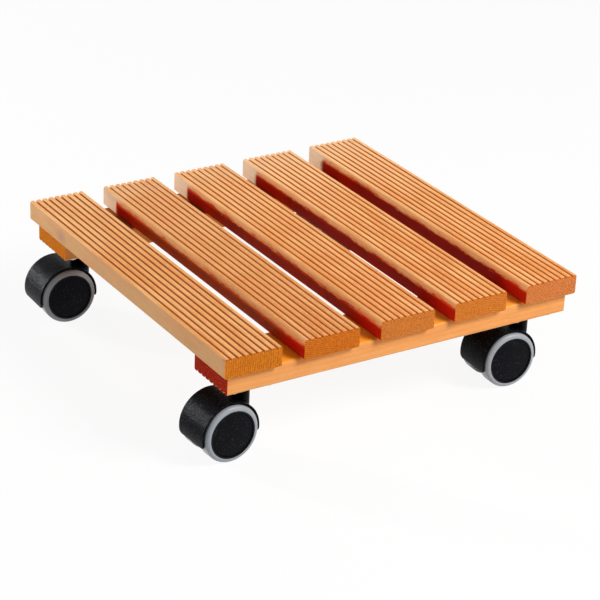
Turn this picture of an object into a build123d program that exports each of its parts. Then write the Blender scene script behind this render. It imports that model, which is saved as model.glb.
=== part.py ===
from build123d import *
import os

# A square plant caddy: grooved slats on two grooved battens, carried by four twin-wheel swivel casters.
# Millimetres. The origin is the centre of the deck's top face, +Z is up, the slats run along Y.

# Grooved board, the same for slats and battens
board_width = 44.0
board_thickness = 15.5
long_edge_radius = 2.0
end_edge_radius = 0.8
groove_count = 8
groove_edge_distance = 4.15
groove_depth = 1.8
groove_floor_width = 1.6
ridge_shoulder_radius = 1.2

# Deck
slat_count = 5
slat_length = 290.0
slat_gap = 17.5
batten_end_inset = 5.0
batten_set_back = 4.5

# Wood screws, the countersunk ones through the battens and the pan-head ones through the plates
slat_screw_radius = 1.75
slat_screw_head_radius = 3.5
slat_screw_length = 25.0
slat_screw_sink = 1.0
slat_screw_ridge = 2
plate_screw_radius = 1.75
plate_screw_head_radius = 3.3
plate_screw_head_height = 1.6
plate_screw_length = 14.0
screw_point_length = 3.0
drive_recess_width = 0.9
drive_recess_length = 3.4
drive_recess_depth = 1.1

# Casters, with the turn of each about its pin as it stands
caster_height = 54.0
caster_end_inset = 23.0
swivel_offset = 16.0
caster_turns = {
    ("front", "left"): 3.5,
    ("front", "right"): -1.5,
    ("rear", "left"): -2.0,
    ("rear", "right"): 2.5,
}

# Mounting plate and swivel pin
plate_side = 36.0
plate_corner_radius = 4.0
plate_thickness = 1.5
plate_hole_spacing = 27.0
plate_hole_radius = 2.1
pin_radius = 3.5
pin_reach = 15.0
pin_end_chamfer = 0.6
pin_running_clearance = 0.05
pin_end_clearance = 0.1

# Snap ring
ring_depth = 7.6
ring_thickness = 1.0
ring_outer_radius = 4.2
ring_slit_angle = 50.0
ring_groove_depth = 0.6
ring_seat_clearance = 0.05
ring_running_clearance = 0.35

# Hood
neck_radius = 6.8
neck_edge_radius = 0.5
plate_running_gap = 0.4
hood_wall = 1.2
hood_tyre_gap = 0.8
hood_side_reveal = 2.35
hood_rear_skirt = 6.5
hood_front_skirt = 4.5
hood_corner_radius = 3.0
hood_rim_radius = 0.4
web_thickness = 9.0
axle_boss_radius = 7.0
axle_boss_height = 0.3

# Wheels
wheel_radius = 21.0
wheel_width = 12.0
wheel_web_gap = 0.6
tyre_thickness = 3.4
tyre_tread_start = 2.6
tyre_tread_end = 9.3
tyre_shoulder_land = 0.3
tyre_side_step = 0.15
tyre_rib_height = 1.0
tyre_rib_start = 3.9
tyre_rib_width = 4.0

# Wheel core
rim_wall = 2.6
rim_inner_wall = 2.0
rim_inner_step = 0.3
core_disc_start = 5.0
core_disc_thickness = 2.0
hub_radius = 6.0
hub_length = 10.0
core_rib_count = 6
core_rib_thickness = 1.2
core_rib_set_back = 1.0
rib_root = 0.3

# Wheel cap
lip_width = 1.2
cap_edge_gap = 0.2
cap_edge_thickness = 1.4
cap_edge_drop = 0.4
cap_dome = 0.7
cap_edge_radius = 0.4
cap_skirt_length = 2.4
cap_skirt_wall = 1.2
cap_skirt_gap = 0.1

# Axle and its snap grooves
axle_radius = 3.0
axle_end_set_back = 0.1
axle_chamfer = 0.4
axle_running_clearance = 0.05
axle_groove_depth = 0.4
axle_groove_width = 1.0
axle_groove_end_distance = 1.0
hub_ridge_clearance = 0.1
hub_ridge_width = 0.5

# Sizes that follow
groove_pitch = (board_width - 2 * groove_edge_distance) / (groove_count - 1)
slat_pitch = board_width + slat_gap
deck_width = (slat_count - 1) * slat_pitch + board_width
batten_length = deck_width - 2 * batten_end_inset
batten_y = slat_length / 2 - batten_set_back - board_width / 2
slat_underside_z = -board_thickness
batten_underside_z = -2 * board_thickness
floor_z = batten_underside_z - caster_height
axle_z = floor_z + wheel_radius
swivel_x = batten_length / 2 - caster_end_inset
plate_underside_z = batten_underside_z - plate_thickness
neck_top_z = plate_underside_z - plate_running_gap
pin_end_z = neck_top_z - pin_reach
ring_top_z = neck_top_z - ring_depth
wheel_inner_y = web_thickness / 2 + wheel_web_gap
hood_half_width = wheel_inner_y + wheel_width - hood_side_reveal
hood_inner_radius = wheel_radius + hood_tyre_gap
hood_outer_radius = hood_inner_radius + hood_wall
tyre_seat_radius = wheel_radius - tyre_thickness
cap_recess_radius = tyre_seat_radius - lip_width
cap_seat_depth = cap_edge_drop + cap_edge_thickness
rim_bore_radius = tyre_seat_radius - rim_wall
axle_half_length = wheel_inner_y + hub_length - axle_end_set_back
axle_groove_end = axle_half_length - axle_groove_end_distance
axle_groove_radius = axle_radius - axle_groove_depth

os.makedirs("parts", exist_ok=True)


def write_piece(piece, label, place=Location()):
    placed = piece.part.moved(place)
    placed.label = label
    export_step(placed, f"parts/{label}.step")


# One groove's cut across the board, with the rounded shoulders of the ridges beside it
with BuildSketch() as groove:
    floor_half = groove_floor_width / 2
    mouth_half = floor_half + ridge_shoulder_radius
    with BuildLine():
        left_top = Line((-mouth_half, ridge_shoulder_radius), (-mouth_half, 0))
        left_shoulder = RadiusArc(left_top @ 1, (-floor_half, -ridge_shoulder_radius), ridge_shoulder_radius)
        floor = Polyline(
            left_shoulder @ 1,
            (-floor_half, -groove_depth),
            (floor_half, -groove_depth),
            (floor_half, -ridge_shoulder_radius),
        )
        right_shoulder = RadiusArc(floor @ 1, (mouth_half, 0), ridge_shoulder_radius)
        Polyline(right_shoulder @ 1, (mouth_half, ridge_shoulder_radius), left_top @ 0)
    make_face()


def grooved_board(plane, length):
    """A board along the plane's normal: the plane's origin is the middle of the grooved face."""
    with BuildPart() as board:
        with BuildSketch(plane):
            with Locations((0, -board_thickness / 2)):
                RectangleRounded(board_width, board_thickness, long_edge_radius)
            with GridLocations(groove_pitch, 0, groove_count, 1):
                add(groove.sketch, mode=Mode.SUBTRACT)
        extrude(amount=length / 2, both=True)
        side_plane = Plane(origin=plane.origin, x_dir=-plane.z_dir, z_dir=plane.x_dir)
        with BuildSketch(side_plane):
            with Locations((0, -board_thickness / 2)):
                RectangleRounded(length, board_thickness, end_edge_radius)
        extrude(amount=board_width, both=True, mode=Mode.INTERSECT)
    return board.part


def slat_x(index):
    return (index - (slat_count - 1) / 2) * slat_pitch


def slat_screw_places(y):
    """Two screws at each crossing of a batten and a slat, each under a ridge of the batten."""
    spread = slat_screw_ridge * groove_pitch
    return [(slat_x(i), y + side * spread) for i in range(slat_count) for side in (-1, 1)]


def underside_places(points, z):
    """Places on a downward face, for holes that go up into the wood."""
    return [Plane(origin=(x, y, z), z_dir=(0, 0, -1)) for x, y in points]


batten_places = {"front": -batten_y, "rear": batten_y}
screw_seat_z = batten_underside_z + slat_screw_sink
slat_pilot_depth = screw_seat_z + slat_screw_length - slat_underside_z
plate_pilot_depth = plate_screw_length - plate_thickness

# Slats
for i in range(slat_count):
    slat_plane = Plane(origin=(slat_x(i), 0, 0), x_dir=(1, 0, 0), z_dir=(0, -1, 0))
    slat_board = grooved_board(slat_plane, slat_length)
    with BuildPart() as slat:
        add(slat_board)
        for y in batten_places.values():
            points = [point for point in slat_screw_places(y) if point[0] == slat_x(i)]
            with Locations(*underside_places(points, slat_underside_z)):
                Hole(slat_screw_radius, depth=slat_pilot_depth)
    write_piece(slat, f"slat_{i + 1}")

# Countersunk screw, standing on its head at the origin
with BuildPart() as slat_screw:
    with BuildSketch(Plane.XZ):
        cone_height = slat_screw_head_radius - slat_screw_radius
        shank_end = slat_screw_length - screw_point_length
        Polygon(
            (0, 0),
            (slat_screw_head_radius, 0),
            (slat_screw_radius, cone_height),
            (slat_screw_radius, shank_end),
            (0, slat_screw_length),
            align=None,
        )
    revolve(axis=Axis.Z)
    with BuildSketch(Plane.XY):
        Rectangle(drive_recess_length, drive_recess_width)
        Rectangle(drive_recess_width, drive_recess_length)
    extrude(amount=drive_recess_depth, mode=Mode.SUBTRACT)

# Pan-head screw, with the seat of its head at the origin
with BuildPart() as plate_screw:
    with BuildSketch(Plane.XZ):
        with BuildLine():
            shank_end = plate_screw_length - screw_point_length
            rim_z = -plate_screw_head_height / 2
            outline = Polyline(
                (0, -plate_screw_head_height),
                (0, plate_screw_length),
                (plate_screw_radius, shank_end),
                (plate_screw_radius, 0),
                (plate_screw_head_radius, 0),
                (plate_screw_head_radius, rim_z),
            )
            crown_start = plate_screw_head_radius + rim_z
            corner = RadiusArc(outline @ 1, (crown_start, -plate_screw_head_height), -rim_z)
            Line(corner @ 1, outline @ 0)
        make_face()
    revolve(axis=Axis.Z)
    with BuildSketch(Plane.XY.offset(-plate_screw_head_height)):
        Rectangle(drive_recess_length, drive_recess_width)
        Rectangle(drive_recess_width, drive_recess_length)
    extrude(amount=drive_recess_depth, mode=Mode.SUBTRACT)

# Battens and the screws that hold the slats to them
for end, y in batten_places.items():
    batten_plane = Plane(origin=(0, y, batten_underside_z), x_dir=(0, 1, 0), z_dir=(-1, 0, 0))
    batten_board = grooved_board(batten_plane, batten_length)
    with BuildPart() as batten:
        add(batten_board)
        with Locations(*underside_places(slat_screw_places(y), screw_seat_z)):
            CounterSinkHole(slat_screw_radius, slat_screw_head_radius, counter_sink_angle=90)
        for x in (-swivel_x, swivel_x):
            with Locations(Plane(origin=(x, y, batten_underside_z), z_dir=(0, 0, -1))):
                with GridLocations(plate_hole_spacing, plate_hole_spacing, 2, 2):
                    Hole(plate_screw_radius, depth=plate_pilot_depth)
    write_piece(batten, f"batten_{end}")
    with BuildPart() as batten_screws:
        with Locations(*[(x, place_y, screw_seat_z) for x, place_y in slat_screw_places(y)]):
            add(slat_screw.part)
    write_piece(batten_screws, f"batten_{end}_screws")

# The caster's fixed pieces, about the swivel axis at the origin
with BuildPart() as plate:
    with BuildSketch(Plane.XY.offset(plate_underside_z)):
        RectangleRounded(plate_side, plate_side, plate_corner_radius)
        with GridLocations(plate_hole_spacing, plate_hole_spacing, 2, 2):
            Circle(plate_hole_radius, mode=Mode.SUBTRACT)
    extrude(amount=plate_thickness)
    with Locations((0, 0, batten_underside_z)):
        CounterSinkHole(pin_radius, pin_radius + plate_thickness, counter_sink_angle=90)

with BuildPart() as plate_screws:
    with Locations((0, 0, plate_underside_z)):
        with GridLocations(plate_hole_spacing, plate_hole_spacing, 2, 2):
            add(plate_screw.part)

with BuildPart() as swivel_pin:
    with BuildSketch(Plane.XZ):
        groove_floor_radius = pin_radius - ring_groove_depth
        Polygon(
            (0, batten_underside_z),
            (pin_radius + plate_thickness, batten_underside_z),
            (pin_radius, plate_underside_z),
            (pin_radius, ring_top_z + ring_seat_clearance),
            (groove_floor_radius, ring_top_z + ring_seat_clearance),
            (groove_floor_radius, ring_top_z - ring_thickness - ring_seat_clearance),
            (pin_radius, ring_top_z - ring_thickness - ring_seat_clearance),
            (pin_radius, pin_end_z + pin_end_chamfer),
            (pin_radius - pin_end_chamfer, pin_end_z),
            (0, pin_end_z),
            align=None,
        )
    revolve(axis=Axis.Z)

with BuildPart() as snap_ring:
    with BuildSketch(Plane.XY.offset(ring_top_z)):
        Circle(ring_outer_radius)
        Circle(groove_floor_radius + ring_seat_clearance, mode=Mode.SUBTRACT)
        slit_half_width = ring_outer_radius * 2
        with BuildLine():
            slit_start = PolarLine((0, 0), slit_half_width, angle=-ring_slit_angle / 2)
            slit_end = PolarLine((0, 0), slit_half_width, angle=ring_slit_angle / 2)
            Line(slit_start @ 1, slit_end @ 1)
        make_face(mode=Mode.SUBTRACT)
    extrude(amount=-ring_thickness)

# Hood: the fender over both wheels, the web between them and the neck on the pin
hood_side_plane = Plane(origin=(-swivel_offset, 0, axle_z), x_dir=(1, 0, 0), z_dir=(0, -1, 0))
with BuildPart() as hood:
    with BuildSketch(hood_side_plane):
        Circle(hood_outer_radius)
        with Locations((-hood_outer_radius, -hood_rear_skirt), (0, -hood_front_skirt)):
            Rectangle(hood_outer_radius, hood_outer_radius, align=(Align.MIN, Align.MAX), mode=Mode.SUBTRACT)
    extrude(amount=hood_half_width, both=True)
    with BuildSketch(Plane.XY.offset(axle_z)):
        Circle(neck_radius)
    extrude(amount=neck_top_z - axle_z)
    for side in (-1, 1):
        well_plane = hood_side_plane.offset(side * web_thickness / 2)
        with BuildSketch(well_plane):
            Circle(hood_inner_radius)
        extrude(amount=side * hood_half_width, mode=Mode.SUBTRACT)
    end_edges = hood.edges().filter_by(lambda e: abs(abs(e.center().Y) - hood_half_width) < 0.01)
    fillet(end_edges.filter_by(Axis.X), hood_corner_radius)
    rim_edges = hood.edges().filter_by(lambda e: abs(abs(e.center().Y) - hood_half_width) < 0.01)
    fillet(rim_edges.filter_by(GeomType.CIRCLE).group_by(SortBy.RADIUS)[-1], hood_rim_radius)
    fillet(hood.edges().group_by(Axis.Z)[-1], neck_edge_radius)
    with BuildSketch(hood_side_plane):
        Circle(axle_boss_radius)
    extrude(amount=web_thickness / 2 + axle_boss_height, both=True)
    with BuildSketch(hood_side_plane):
        Circle(axle_radius)
    extrude(amount=hood_half_width, both=True, mode=Mode.SUBTRACT)
    with BuildSketch(Plane.XY.offset(neck_top_z)):
        Circle(pin_radius + pin_running_clearance)
    extrude(amount=-pin_reach - pin_end_clearance, mode=Mode.SUBTRACT)
    with BuildSketch(Plane.XY.offset(ring_top_z + ring_running_clearance)):
        Circle(ring_outer_radius + ring_running_clearance)
    extrude(amount=-ring_thickness - 2 * ring_running_clearance, mode=Mode.SUBTRACT)

with BuildPart() as axle:
    with BuildSketch(Plane.XY):
        with BuildLine():
            half = Polyline(
                (0, axle_half_length),
                (axle_radius - axle_chamfer, axle_half_length),
                (axle_radius, axle_half_length - axle_chamfer),
                (axle_radius, axle_groove_end),
                (axle_groove_radius, axle_groove_end),
                (axle_groove_radius, axle_groove_end - axle_groove_width),
                (axle_radius, axle_groove_end - axle_groove_width),
                (axle_radius, 0),
            )
            mirror(half, about=Plane.XZ)
            Line((0, -axle_half_length), (0, axle_half_length))
        make_face()
    revolve(axis=Axis.Y)

# Wheel pieces, about the axle's middle: the profile's X is the radius, its Y runs outwards from the hub
wheel_profile_plane = Plane(origin=(0, -wheel_inner_y, 0), x_dir=(1, 0, 0), z_dir=(0, 0, -1))

with BuildPart() as tyre:
    with BuildSketch(wheel_profile_plane):
        rib_radius = tyre_seat_radius + tyre_rib_height
        rib_end = tyre_rib_start + tyre_rib_width
        tyre_face_y = wheel_width - tyre_side_step
        tyre_back_y = rim_inner_step + tyre_side_step
        shoulder_radius = tyre_seat_radius + tyre_shoulder_land
        with BuildLine():
            tread = Line((wheel_radius, tyre_tread_start), (wheel_radius, tyre_tread_end))
            face_shoulder = TangentArc(tread @ 1, (shoulder_radius, tyre_face_y), tangent=tread % 1)
            back_shoulder = TangentArc(tread @ 0, (rib_radius, tyre_back_y), tangent=-(tread % 0))
            Polyline(
                face_shoulder @ 1,
                (tyre_seat_radius, tyre_face_y),
                (tyre_seat_radius, rib_end),
                (rib_radius, rib_end),
                (rib_radius, tyre_rib_start),
                (tyre_seat_radius, tyre_rib_start),
                (tyre_seat_radius, tyre_back_y),
                back_shoulder @ 1,
            )
        make_face()
    revolve(axis=Axis.Y)

with BuildPart() as wheel_core:
    with BuildSketch(wheel_profile_plane):
        bore_radius = axle_radius + axle_running_clearance
        ridge_radius = axle_groove_radius + hub_ridge_clearance
        ridge_middle = axle_groove_end - axle_groove_width / 2 - wheel_inner_y
        inner_rim_radius = tyre_seat_radius - rim_inner_wall
        disc_end = core_disc_start + core_disc_thickness
        cap_seat_y = wheel_width - cap_seat_depth
        Polygon(
            (bore_radius, 0),
            (hub_radius, 0),
            (hub_radius, core_disc_start),
            (inner_rim_radius, core_disc_start),
            (inner_rim_radius, rim_inner_step),
            (tyre_seat_radius, rim_inner_step),
            (tyre_seat_radius, tyre_rib_start),
            (rib_radius, tyre_rib_start),
            (rib_radius, rib_end),
            (tyre_seat_radius, rib_end),
            (tyre_seat_radius, wheel_width),
            (cap_recess_radius, wheel_width),
            (cap_recess_radius, cap_seat_y),
            (rim_bore_radius, cap_seat_y),
            (rim_bore_radius, disc_end),
            (hub_radius, disc_end),
            (hub_radius, hub_length),
            (bore_radius, hub_length),
            (bore_radius, ridge_middle + hub_ridge_width / 2),
            (ridge_radius, ridge_middle + hub_ridge_width / 2),
            (ridge_radius, ridge_middle - hub_ridge_width / 2),
            (bore_radius, ridge_middle - hub_ridge_width / 2),
            align=None,
        )
    revolve(axis=Axis.Y)
    rib_plane = Plane(origin=(0, -wheel_inner_y - core_rib_set_back, 0), z_dir=(0, -1, 0))
    rib_length = inner_rim_radius - hub_radius + 2 * rib_root
    with BuildSketch(rib_plane):
        with PolarLocations((inner_rim_radius + hub_radius) / 2, core_rib_count):
            Rectangle(rib_length, core_rib_thickness)
    extrude(amount=core_disc_start - core_rib_set_back + rib_root)

with BuildPart() as wheel_cap:
    with BuildSketch(wheel_profile_plane):
        cap_radius = cap_recess_radius - cap_edge_gap
        cap_face_y = wheel_width - cap_edge_drop
        skirt_radius = rim_bore_radius - cap_skirt_gap
        with BuildLine():
            rim_line = Line((cap_radius, cap_seat_y), (cap_radius, cap_face_y - cap_edge_radius))
            edge_end = (cap_radius - cap_edge_radius, cap_face_y)
            edge = TangentArc(rim_line @ 1, edge_end, tangent=rim_line % 1)
            half_chord = cap_radius - cap_edge_radius
            dome_radius = (half_chord**2 + cap_dome**2) / (2 * cap_dome)
            dome = RadiusArc(edge @ 1, (0, cap_face_y + cap_dome), -dome_radius)
            Polyline(
                dome @ 1,
                (0, cap_seat_y),
                (skirt_radius - cap_skirt_wall, cap_seat_y),
                (skirt_radius - cap_skirt_wall, cap_seat_y - cap_skirt_length),
                (skirt_radius, cap_seat_y - cap_skirt_length),
                (skirt_radius, cap_seat_y),
                rim_line @ 0,
            )
        make_face()
    revolve(axis=Axis.Y)

# Each caster stands under a batten's end, turned about its own pin
side_signs = {"left": -1, "right": 1}
for (end, side), turn in caster_turns.items():
    name = f"caster_{end}_{side}"
    swivel_place = Location((side_signs[side] * swivel_x, batten_places[end], 0))
    turned_place = swivel_place * Location((0, 0, 0), (0, 0, turn))
    axle_place = turned_place * Location((-swivel_offset, 0, axle_z))
    write_piece(plate, f"{name}_plate", swivel_place)
    write_piece(plate_screws, f"{name}_plate_screws", swivel_place)
    write_piece(swivel_pin, f"{name}_swivel_pin", swivel_place)
    write_piece(snap_ring, f"{name}_snap_ring", swivel_place)
    write_piece(hood, f"{name}_hood", turned_place)
    write_piece(axle, f"{name}_axle", axle_place)
    for wheel, half_turn in (("wheel_a", 0), ("wheel_b", 180)):
        wheel_place = axle_place * Location((0, 0, 0), (0, 0, half_turn))
        write_piece(wheel_core, f"{name}_{wheel}_core", wheel_place)
        write_piece(tyre, f"{name}_{wheel}_tyre", wheel_place)
        write_piece(wheel_cap, f"{name}_{wheel}_cap", wheel_place)
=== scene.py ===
import math

import bpy
from mathutils import Matrix, Vector


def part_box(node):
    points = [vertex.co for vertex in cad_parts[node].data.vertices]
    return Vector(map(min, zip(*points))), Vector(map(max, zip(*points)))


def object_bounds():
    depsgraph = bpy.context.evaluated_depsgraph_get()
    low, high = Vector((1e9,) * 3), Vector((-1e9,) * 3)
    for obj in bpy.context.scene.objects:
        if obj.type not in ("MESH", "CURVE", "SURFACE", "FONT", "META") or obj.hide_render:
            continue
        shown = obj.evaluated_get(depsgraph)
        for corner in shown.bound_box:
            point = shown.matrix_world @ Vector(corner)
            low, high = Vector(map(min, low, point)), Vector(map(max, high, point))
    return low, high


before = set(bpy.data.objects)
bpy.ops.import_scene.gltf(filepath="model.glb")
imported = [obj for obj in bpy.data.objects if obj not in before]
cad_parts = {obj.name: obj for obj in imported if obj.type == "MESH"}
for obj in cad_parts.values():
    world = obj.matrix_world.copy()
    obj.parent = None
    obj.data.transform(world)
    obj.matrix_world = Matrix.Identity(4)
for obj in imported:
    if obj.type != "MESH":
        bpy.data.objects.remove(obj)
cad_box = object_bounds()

# A square plant caddy: grooved slats on two grooved battens, on four twin-wheel swivel casters.
# Lengths are metres where they place things, and millimetres inside the materials.
mm_in_m = 1000.0

# Camera, as a fit of the deck's corners in the photograph gives it
camera_azimuth = math.radians(-32.912)
camera_elevation = math.radians(25.831)
camera_roll = math.radians(2.585)
camera_distance = 1.7104
camera_right_offset = -0.00195
camera_up_offset = 0.04635
camera_lens = 140.56
camera_sensor = 36.0
camera_clip_start = 0.05
camera_clip_end = 50.0

# Lamps: direction towards the lamp, its distance, the side of its square, its level and its colour
lamps = {
    "key_front_right": ((0.42, -0.64, 0.66), 1.7, 0.6, 1.0, (1.0, 0.985, 0.965)),
    "low_back_left": ((-0.62, 0.78, 0.19), 1.7, 0.16, 0.85, (0.98, 0.99, 1.0)),
}
ambient_level = 0.26

# Floor: how far it lies below the wheels, its side, the share of it that takes light and shade, its grain
floor_drop = 0.0001
floor_size = 12.0
floor_shade_share = 0.09
floor_paper_colour = (0.86, 0.86, 0.86, 1.0)
floor_tooth_scale = 900.0
floor_tooth_depth = 0.00005
white = (1.0, 1.0, 1.0, 1.0)


def linear(red, green, blue):
    """An sRGB colour of 0 to 255 as a shader's numbers."""
    shares = [value / 255 for value in (red, green, blue)]
    return tuple(v / 12.92 if v <= 0.04045 else ((v + 0.055) / 1.055) ** 2.4 for v in shares) + (1.0,)


def scaled(colour, share):
    return tuple(min(1.0, value * share) for value in colour[:3]) + (1.0,)


class Graph:
    """The nodes of a material or world under construction: each call adds a node and returns its output."""

    def __init__(self, owner):
        self.owner = owner
        owner.use_nodes = True
        self.tree = owner.node_tree
        self.tree.nodes.clear()

    def node(self, kind, inputs=None, **settings):
        made = self.tree.nodes.new(kind)
        for name, value in settings.items():
            setattr(made, name, value)
        for key, value in (inputs or {}).items():
            if isinstance(value, bpy.types.NodeSocket):
                self.tree.links.new(value, made.inputs[key])
            else:
                made.inputs[key].default_value = value
        return made

    def math(self, operation, a, b=0.0, clamp=False):
        return self.node("ShaderNodeMath", {0: a, 1: b}, operation=operation, use_clamp=clamp).outputs[0]

    def add(self, a, b):
        return self.math("ADD", a, b)

    def times(self, *factors):
        product = factors[0]
        for factor in factors[1:]:
            product = self.math("MULTIPLY", product, factor)
        return product

    def without(self, a):
        return self.math("SUBTRACT", 1.0, a, clamp=True)

    def swing(self, value, reach):
        """A value of 0 to 1 as a shift about nothing, of that reach from end to end."""
        return self.times(self.add(value, -0.5), reach)

    def vector(self, operation, a, b=(0.0, 0.0, 0.0)):
        made = self.node("ShaderNodeVectorMath", {0: a, 1: b}, operation=operation)
        return made.outputs["Value" if operation == "LENGTH" else "Vector"]

    def stretched(self, vector, x, y, z):
        return self.vector("MULTIPLY", vector, (x, y, z))

    def step(self, value, low, high):
        """0 below low, 1 above high, smooth between; falls instead if low is above high."""
        flip = low > high
        made = self.node(
            "ShaderNodeMapRange",
            {"Value": value, "From Min": min(low, high), "From Max": max(low, high),
             "To Min": 1.0 if flip else 0.0, "To Max": 0.0 if flip else 1.0},
            interpolation_type="SMOOTHSTEP",
        )
        return made.outputs["Result"]

    def noise(self, vector, scale=1.0, detail=2.0, roughness=0.5, colour=False):
        made = self.node(
            "ShaderNodeTexNoise",
            {"Vector": vector, "Scale": scale, "Detail": detail, "Roughness": roughness},
        )
        return made.outputs["Color" if colour else "Fac"]

    def mix(self, share, a, b):
        made = self.node("ShaderNodeMix", {0: share, 6: a, 7: b}, data_type="RGBA")
        return made.outputs[2]

    def separate(self, vector):
        return self.node("ShaderNodeSeparateXYZ", {0: vector}).outputs

    def combine(self, x, y, z=0.0):
        return self.node("ShaderNodeCombineXYZ", {0: x, 1: y, 2: z}).outputs[0]

    def bump(self, height, distance):
        return self.node("ShaderNodeBump", {"Height": height, "Distance": distance}).outputs["Normal"]

    def finish(self, colour, roughness, normal, **constants):
        inputs = {"Base Color": colour, "Roughness": roughness, "Normal": normal}
        shader = self.node("ShaderNodeBsdfPrincipled", inputs)
        for name, value in constants.items():
            shader.inputs[name.replace("_", " ")].default_value = value
        self.node("ShaderNodeOutputMaterial", {"Surface": shader.outputs[0]})
        return self.owner

    def seen_rays(self):
        """1 for rays that the camera or a reflection sees, 0 for the light that lands on things."""
        rays = self.node("ShaderNodeLightPath").outputs
        seen = self.math("MAXIMUM", rays["Is Camera Ray"], rays["Is Glossy Ray"])
        return self.math("MAXIMUM", seen, rays["Is Transmission Ray"])


# Stained wood: colours of the grooved face, the sides, the grooves, the painted shadow in the gaps and the
# knots
tan_light = linear(248, 189, 122)
tan_deep = linear(238, 166, 96)
tan_pale = linear(255, 208, 154)
fleck_light = linear(252, 204, 146)
late_wood = linear(208, 116, 50)
fibre_dark = linear(180, 96, 38)
side_tan = linear(190, 146, 103)
side_orange = linear(216, 156, 104)
side_pale = linear(215, 192, 166)
batten_side = linear(222, 149, 85)
batten_end = linear(206, 112, 36)
groove_brown = linear(238, 140, 34)
pore_dark = linear(160, 82, 18)
# Painted shadow inside the gaps: deep red towards the front and the far end, orange at its edge below the
# lit strip
painted_shadow_front_red = linear(200, 30, 11)
painted_shadow_far_red = linear(196, 34, 8)
gap_orange = linear(196, 98, 30)
knot_halo = linear(178, 126, 92)
knot_heart = linear(164, 128, 116)

# Kinds of face, by the sine or cosine at which one starts to show and is whole
end_face_span = (0.75, 0.95)
side_face_span = (0.7, 0.97)
left_face_span = (-0.6, -0.9)
right_face_span = (0.6, 0.9)
top_face_span = (0.6, 0.9)

# Noise in the wood: cells per millimetre along, across and into the board, detail, roughness, and the
# span of its values that is stretched over 0 to 1
wood_noises = {
    "fibres": ((0.03, 1.1, 1.1), 4.0, 0.6, (0.42, 0.74)),
    "mottle": ((0.018, 0.08, 0.08), 3.0, 0.5, (0.34, 0.66)),
    "cloud": ((0.06, 0.16, 0.16), 3.0, 0.5, (0.36, 0.7)),
    "pores": ((0.3, 1.0, 0.7), 4.0, 0.7, (0.44, 0.64)),
    "flecks": ((0.3, 1.2, 1.2), 3.0, 0.65, None),
    "shadow_wander": ((0.05, 0.2, 0.2), 4.0, 0.65, None),
    "fine_shadow_wander": ((0.16, 0.7, 0.7), 3.0, 0.6, None),
}
seed_shifts = (517.0, 131.0, 77.0)

# Rings: how they wander, as cells per millimetre, detail and reach, and the share of one that is late wood
ring_wanders = [((0.004, 0.02, 0.02), 1.0, 16.0), ((0.02, 0.3, 0.3), 3.0, 1.8)]
late_rise = (0.25, 0.85)
late_fall = (1.0, 0.92)

# Gaps, in millimetres: the depth of the lit strip above the painted shadow on the sides inside the gaps,
# the place along the slats past which the sides are out of that shadow, where its painted colour changes,
# and how far its edges wander
lit_strip_depth = 5.2
shadow_edge_span = (lit_strip_depth - 2.8, lit_strip_depth - 0.6)
deep_shadow_span = (lit_strip_depth - 0.8, lit_strip_depth + 1.0)
open_end = 123.0
shadowed_span = (open_end + 2.5, open_end)
far_side_span = (open_end - 12, open_end + 6)
far_shadow_span = (66.0, 112.0)
front_shadow_span = (-108.0, -128.0)
front_shadow_wander_reach = 30.0
shadow_wander_reach = 7.0
fine_shadow_wander_reach = 5.0

# Grooves, in millimetres
board_width = 44.0
groove_depth = 1.8
groove_stain_span = (1.0, 1.75)
groove_end_span = (groove_depth + 0.4, groove_depth + 0.1)
groove_edge_span = (board_width / 2 - 0.6, board_width / 2 - 1.2)
groove_stain_share = 0.75

wood_relief = 0.00008
wood_roughness = 0.55
wood_specular = 0.05


def knot(g, colour, along, depth, face, centre, radius):
    """A small sound knot in one face of a board: a halo of bent grain about a darker ringed heart."""
    away = g.combine(g.add(along, -centre[0]), g.times(g.add(depth, -centre[1]), 1.4))
    wobble = g.swing(g.noise(away, scale=0.35), 0.8)
    distance = g.add(g.times(g.vector("LENGTH", away), 1.0 / radius), wobble)
    rings = g.step(g.math("FRACT", g.times(distance, 2.6)), 0.45, 0.9)
    halo = g.times(face, g.step(distance, 2.0, 0.8), g.add(g.times(rings, 0.5), 0.25))
    colour = g.mix(halo, colour, knot_halo)
    return g.mix(g.times(face, g.step(distance, 0.9, 0.5), 0.6), colour, knot_heart)


def wood_noise(g, own, name):
    """One of the wood's noises, at a place in the board that its seed has shifted."""
    cells, detail, roughness, span = wood_noises[name]
    value = g.noise(g.stretched(own, *cells), detail=detail, roughness=roughness)
    return g.step(value, *span) if span else value


def gap_painted_shadow(g, colour, own, along, depth, normal_across, cloud, looks):
    """Painted shadow on the sides inside the gaps, below a lit strip, with a ragged edge."""
    shadow_wander = wood_noise(g, own, "shadow_wander")
    fine_shadow_wander = wood_noise(g, own, "fine_shadow_wander")
    edge = g.add(g.add(depth, g.swing(shadow_wander, shadow_wander_reach)), g.swing(fine_shadow_wander, fine_shadow_wander_reach))
    shadowed = g.step(along, *shadowed_span)
    shadow_edge = g.times(g.step(edge, *shadow_edge_span), shadowed)
    deep_shadow = g.times(g.step(edge, *deep_shadow_span), shadowed)
    shadow_colour = g.mix(g.times(cloud, 0.4), looks["gap_shadow"], scaled(looks["gap_shadow"], 0.6))
    shadow_colour = g.mix(g.step(along, *far_shadow_span), shadow_colour, painted_shadow_far_red)
    front_place = g.add(along, g.swing(shadow_wander, front_shadow_wander_reach))
    shadow_colour = g.mix(g.step(front_place, *front_shadow_span), shadow_colour, painted_shadow_front_red)
    facing = g.step(normal_across, *left_face_span) if looks["left_gap"] else 0.0
    if looks["right_gap"]:
        facing = g.add(facing, g.times(g.step(normal_across, *right_face_span), 0.5))
    # Painted shadow: orange at its edge below the lit strip, deep red below that
    colour = g.mix(g.times(shadow_edge, facing, 0.7), colour, gap_orange)
    return g.mix(g.times(deep_shadow, facing, 0.97), colour, shadow_colour)


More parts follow.
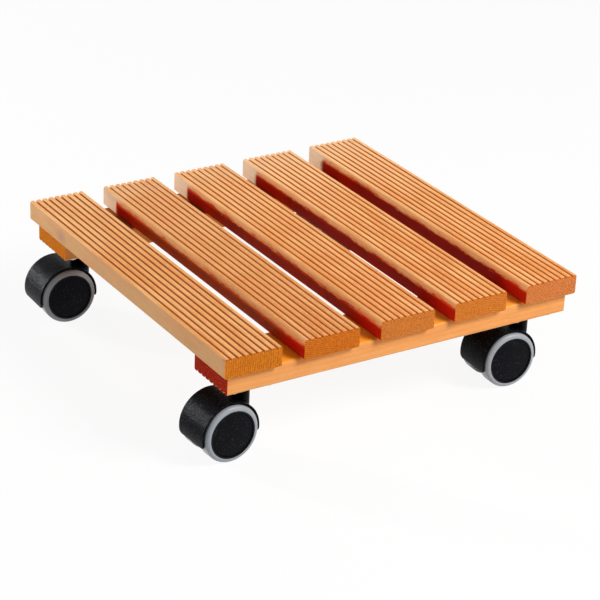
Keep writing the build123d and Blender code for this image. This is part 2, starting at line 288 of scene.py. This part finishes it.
def wood(node, along_axis, faces_down, seed, pith, ring_spacing, end_colour, looks):
    """A board's material: rings about a pith line, fibres along the grain, the colour of each kind of face,
    painted shadow in the gaps and painted light and shade on batten tops.

    pith is the line's place across the board and below its grooved face, in millimetres."""
    g = Graph(bpy.data.materials.new(f"wood_{node}"))
    low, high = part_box(node)
    middle = [(a + b) / 2 for a, b in zip(low, high)]
    middle[2] = low[2] if faces_down else high[2]
    coordinates = g.node("ShaderNodeTexCoord").outputs
    placed = g.vector("SUBTRACT", coordinates["Object"], tuple(middle))
    into_board = mm_in_m if faces_down else -mm_in_m
    x, y, depth = g.separate(g.stretched(placed, mm_in_m, mm_in_m, into_board))
    along, across = (x, y) if along_axis == "X" else (y, x)
    local = g.combine(along, across, depth)
    own = g.vector("ADD", local, tuple(seed * shift for shift in seed_shifts))
    nx, ny, nz = g.separate(coordinates["Normal"])
    normal_along, normal_across = (nx, ny) if along_axis == "X" else (ny, nx)
    end_face = g.step(g.math("ABSOLUTE", normal_along), *end_face_span)
    side_face = g.step(g.math("ABSOLUTE", normal_across), *side_face_span)

    # Rings
    from_pith = g.stretched(g.vector("SUBTRACT", local, (0.0, *pith)), 0.0, 1.0, 1.0)
    for cells, detail, reach in ring_wanders:
        shift = g.noise(g.stretched(own, *cells), detail=detail, colour=True)
        shift = g.stretched(g.vector("SUBTRACT", shift, (0.5, 0.5, 0.5)), 0.0, reach, reach)
        from_pith = g.vector("ADD", from_pith, shift)
    radius = g.vector("LENGTH", from_pith)
    ring = g.math("FRACT", g.times(radius, 1.0 / ring_spacing))
    late = g.times(g.step(ring, *late_rise), g.step(ring, *late_fall))

    # Fibres, mottling and pores
    fibres = wood_noise(g, own, "fibres")
    mottle = wood_noise(g, own, "mottle")
    cloud = wood_noise(g, own, "cloud")
    pores = wood_noise(g, own, "pores")
    flecks = wood_noise(g, own, "flecks")

    # Colour of the grooved face and the underside
    tone = looks["tone"]
    colour = g.mix(mottle, scaled(tan_light, tone), scaled(tan_deep, tone))
    colour = g.mix(g.times(late, looks["grain"]), colour, late_wood)
    colour = g.mix(g.times(fibres, looks["grain"], 0.8), colour, fibre_dark)
    colour = g.mix(g.times(g.step(flecks, 0.56, 0.7), 0.3), colour, late_wood)
    colour = g.mix(g.times(g.step(flecks, 0.46, 0.3), 0.5), colour, fleck_light)
    colour = g.mix(g.times(g.step(along, 0.0, 125.0), looks["far_pale"]), colour, tan_pale)

    # Sides
    side_colour = g.mix(g.step(along, *far_side_span), looks["side"], looks["far_side"])
    side_colour = g.mix(g.times(cloud, 0.3), side_colour, scaled(looks["side"], 0.8))
    side_colour = g.mix(g.times(late, 0.12), side_colour, late_wood)
    side_colour = g.mix(g.times(g.step(flecks, 0.55, 0.7), 0.16), side_colour, fibre_dark)
    colour = g.mix(g.times(side_face, looks["side_share"]), colour, side_colour)
    for centre, knot_radius in looks.get("knots", []):
        face = g.step(normal_across, *left_face_span)
        colour = knot(g, colour, along, depth, face, centre, knot_radius)
    # Painted shadow on the sides inside the gaps, where a neighbouring slat shades them
    if "gap_shadow" in looks:
        colour = gap_painted_shadow(g, colour, own, along, depth, normal_across, cloud, looks)
    # Painted light on the front batten's top and painted shade on the rear batten's top, where they show in
    # the gaps
    if "top" in looks:
        top_share = g.times(g.step(nz, *top_face_span), g.add(0.75, g.times(mottle, 0.2)))
        colour = g.mix(top_share, colour, looks["top"])

    # Ends
    grain_share = g.add(g.times(late, 0.45), g.times(pores, 0.36))
    end_grain = g.mix(grain_share, scaled(end_colour, 1.04), pore_dark)
    if "left_end" in looks:
        left_light = scaled(looks["left_end"], 1.1)
        left_dark = scaled(looks["left_end"], 0.5)
        left_grain = g.mix(g.times(grain_share, 0.3), left_light, left_dark)
        left_grain = g.mix(g.times(g.step(flecks, 0.46, 0.36), 0.45), left_grain, gap_orange)
        end_grain = g.mix(g.step(normal_along, *left_face_span), end_grain, left_grain)
    colour = g.mix(end_face, colour, end_grain)

    # Grooves
    between_edges = g.step(g.math("ABSOLUTE", across), *groove_edge_span)
    at_depth = g.times(g.step(depth, *groove_stain_span), between_edges, g.step(depth, *groove_end_span))
    in_groove = g.times(at_depth, g.without(end_face))
    colour = g.mix(g.times(in_groove, groove_stain_share), colour, groove_brown)

    # Surface
    relief = g.add(g.times(fibres, -0.5), g.times(late, 0.4))
    relief = g.add(relief, g.times(pores, end_face, -2.5))
    normal = g.bump(relief, wood_relief)
    roughness = g.add(wood_roughness, g.add(g.times(fibres, 0.1), g.times(end_face, 0.25)))
    return g.finish(colour, roughness, normal, Specular_IOR_Level=wood_specular)


def moulded(name, colour, roughness, grain_size, grain_depth, speck_share, speck_gain, specular):
    """Moulded plastic or rubber with an even spark-eroded grain, in millimetres."""
    g = Graph(bpy.data.materials.new(name))
    scale = mm_in_m / grain_size
    place = g.stretched(g.node("ShaderNodeTexCoord").outputs["Object"], scale, scale, scale)
    grain = g.noise(place, detail=3.0, roughness=0.6)
    broad = g.noise(g.stretched(place, 0.04, 0.04, 0.04), detail=2.0)
    speck = g.step(grain, 0.56, 0.72)
    shade = g.mix(g.times(speck, speck_share), colour, scaled(colour, speck_gain))
    shade = g.mix(g.times(g.step(broad, 0.35, 0.65), 0.25), shade, scaled(colour, 0.75))
    normal = g.bump(grain, grain_depth / mm_in_m)
    rough = g.add(roughness, g.swing(speck, 0.12))
    cool = (0.86, 0.92, 1.0, 1.0)
    return g.finish(shade, rough, normal, Specular_IOR_Level=specular, Specular_Tint=cool)


def plated_steel(name, colour, roughness):
    """Zinc-plated steel with rolling marks and a mottled plating."""
    g = Graph(bpy.data.materials.new(name))
    place = g.stretched(g.node("ShaderNodeTexCoord").outputs["Object"], mm_in_m, mm_in_m, mm_in_m)
    marks = g.noise(g.stretched(place, 0.08, 3.0, 3.0), detail=3.0)
    spangle = g.noise(place, scale=0.6, detail=2.0)
    shade = g.mix(g.step(spangle, 0.35, 0.65), colour, scaled(colour, 0.8))
    normal = g.bump(marks, 0.00002)
    rough = g.add(roughness, g.swing(marks, 0.2))
    return g.finish(shade, rough, normal, Metallic=1.0)


def dress(node, material):
    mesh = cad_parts[node].data
    mesh.materials.clear()
    mesh.materials.append(material)


# Slats, from the left: pith line, ring spacing, the end grain's colour, the colour of the painted shadow in
# the gaps beside it, how light its grooved face is, and how much paler that gets towards the far end
slat_woods = [
    ((90.0, 14.0), 1.7, linear(212, 122, 32), linear(152, 60, 14), 1.0, 0.3),
    ((-24.0, 62.0), 1.5, linear(208, 112, 32), linear(172, 62, 12), 0.9, 0.3),
    ((70.0, 74.0), 1.3, linear(208, 124, 56), linear(168, 38, 8), 1.0, 0.3),
    ((8.0, 44.0), 1.6, linear(212, 124, 50), linear(160, 22, 6), 1.0, 0.6),
    ((-62.0, 74.0), 1.25, linear(214, 128, 72), linear(156, 14, 5), 1.0, 0.6),
]
slat_1_knots = [((94.0, 9.0), 5.5), ((-143.6, 1.4), 1.8)]
for i, (pith, spacing, end_colour, gap_shadow_colour, tone, far_pale) in enumerate(slat_woods):
    outermost = i == 0
    looks = {
        "grain": 0.24,
        "tone": tone,
        "far_pale": far_pale,
        "side": side_tan if outermost else side_orange,
        "far_side": scaled(side_tan, 1.08) if outermost else side_pale,
        "side_share": 0.9,
        "knots": slat_1_knots if outermost else [],
        "gap_shadow": gap_shadow_colour,
        "left_gap": not outermost,
        "right_gap": i < len(slat_woods) - 1,
    }
    node = f"slat_{i + 1}"
    dress(node, wood(node, "Y", False, i + 1, pith, spacing, end_colour, looks))

# Battens: painted light on the front batten's top and painted shade on the rear batten's top, in the gaps,
# and the colours of their ends on the left
batten_tops_and_ends = {
    "batten_front": (linear(248, 154, 26), linear(143, 22, 6)),
    "batten_rear": (linear(140, 58, 14), linear(186, 104, 12)),
}
batten_pith = (26.0, 58.0)
batten_ring_spacing = 3.4
first_batten_seed = 7
for i, (node, (top, left_end)) in enumerate(batten_tops_and_ends.items()):
    looks = {
        "grain": 0.18,
        "tone": 1.0,
        "far_pale": 0.0,
        "side": batten_side,
        "far_side": batten_side,
        "side_share": 0.75,
        "top": top,
        "left_end": left_end,
    }
    seed = first_batten_seed + i
    dress(node, wood(node, "X", True, seed, batten_pith, batten_ring_spacing, batten_end, looks))

# Casters: a moulded grain's size and depth are in millimetres, and speck_gain says how many times lighter
# its specks are
hood_plastic = moulded(
    "hood_plastic", linear(4, 4, 6), roughness=0.27, grain_size=0.9, grain_depth=0.32,
    speck_share=0.6, speck_gain=60.0, specular=0.035,
)
core_plastic = moulded(
    "core_plastic", linear(7, 7, 8), roughness=0.28, grain_size=0.4, grain_depth=0.01,
    speck_share=0.0, speck_gain=12.0, specular=0.14,
)
cap_plastic = moulded(
    "cap_plastic", linear(7, 7, 10), roughness=0.45, grain_size=1.1, grain_depth=0.3,
    speck_share=0.8, speck_gain=18.0, specular=0.06,
)
tyre_rubber = moulded(
    "tyre_rubber", linear(150, 155, 161), roughness=0.4, grain_size=0.8, grain_depth=0.015,
    speck_share=0.0, speck_gain=12.0, specular=0.3,
)
steel = plated_steel("zinc_plated_steel", (0.62, 0.62, 0.63, 1.0), 0.32)
screw_steel = plated_steel("screw_steel", (0.66, 0.62, 0.5, 1.0), 0.3)
caster_materials = {
    "plate": steel,
    "plate_screws": screw_steel,
    "swivel_pin": steel,
    "snap_ring": steel,
    "axle": steel,
    "hood": hood_plastic,
    "core": core_plastic,
    "cap": cap_plastic,
    "tyre": tyre_rubber,
}
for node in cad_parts:
    if node.startswith("batten") and node.endswith("_screws"):
        dress(node, screw_steel)
    for ending, material in caster_materials.items():
        if node.startswith("caster") and node.endswith(f"_{ending}"):
            dress(node, material)


def lay_floor():
    lowest = cad_box[0][2]
    bpy.ops.mesh.primitive_plane_add(size=floor_size, location=(0, 0, lowest - floor_drop))
    floor = bpy.context.object
    floor.name = "floor"
    g = Graph(bpy.data.materials.new("floor_paper"))
    place = g.node("ShaderNodeTexCoord").outputs["Object"]
    normal = g.bump(g.noise(place, scale=floor_tooth_scale), floor_tooth_depth)
    paper = g.node("ShaderNodeBsdfDiffuse", {"Color": floor_paper_colour, "Normal": normal}).outputs[0]
    lit = g.node("ShaderNodeEmission", {"Color": white, "Strength": 1.0}).outputs[0]
    share = g.times(g.seen_rays(), 1.0 - floor_shade_share)
    surface = g.node("ShaderNodeMixShader", {0: share, 1: paper, 2: lit}).outputs[0]
    g.node("ShaderNodeOutputMaterial", {"Surface": surface})
    floor.data.materials.append(g.owner)


def light_world():
    g = Graph(bpy.data.worlds.new("studio"))
    levels = {"Value": g.seen_rays(), "To Min": ambient_level, "To Max": 1.0}
    strength = g.node("ShaderNodeMapRange", levels).outputs["Result"]
    background = g.node("ShaderNodeBackground", {"Color": white, "Strength": strength}).outputs[0]
    g.node("ShaderNodeOutputWorld", {"Surface": background})
    bpy.context.scene.world = g.owner


def light(name, towards, distance, side, level, colour):
    """A square softbox that lights a surface facing it, at the origin, to that level of its own colour."""
    data = bpy.data.lights.new(name, "AREA")
    data.size = side
    data.energy = level * math.pi**2 * distance**2
    data.color = colour
    lamp = bpy.data.objects.new(name, data)
    bpy.context.scene.collection.objects.link(lamp)
    direction = Vector(towards).normalized()
    lamp.location = direction * distance
    lamp.rotation_mode = "QUATERNION"
    lamp.rotation_quaternion = direction.to_track_quat("Z", "Y")


def camera():
    azimuth, elevation, roll = camera_azimuth, camera_elevation, camera_roll
    level = math.cos(elevation)
    forward = Vector((-math.sin(azimuth) * level, math.cos(azimuth) * level, -math.sin(elevation)))
    level_right = forward.cross(Vector((0, 0, 1))).normalized()
    level_up = level_right.cross(forward)
    right = math.cos(roll) * level_right + math.sin(roll) * level_up
    up = -math.sin(roll) * level_right + math.cos(roll) * level_up
    place = -camera_right_offset * right - camera_up_offset * up - camera_distance * forward
    data = bpy.data.cameras.new("camera")
    data.lens = camera_lens
    data.sensor_width = camera_sensor
    data.clip_start = camera_clip_start
    data.clip_end = camera_clip_end
    eye = bpy.data.objects.new("camera", data)
    bpy.context.scene.collection.objects.link(eye)
    turn = Matrix((right, up, -forward)).transposed()
    eye.matrix_world = Matrix.Translation(place) @ turn.to_4x4()
    bpy.context.scene.camera = eye


lay_floor()
light_world()
for name, settings in lamps.items():
    light(name, *settings)
camera()
bpy.context.scene.view_settings.view_transform = "Standard"
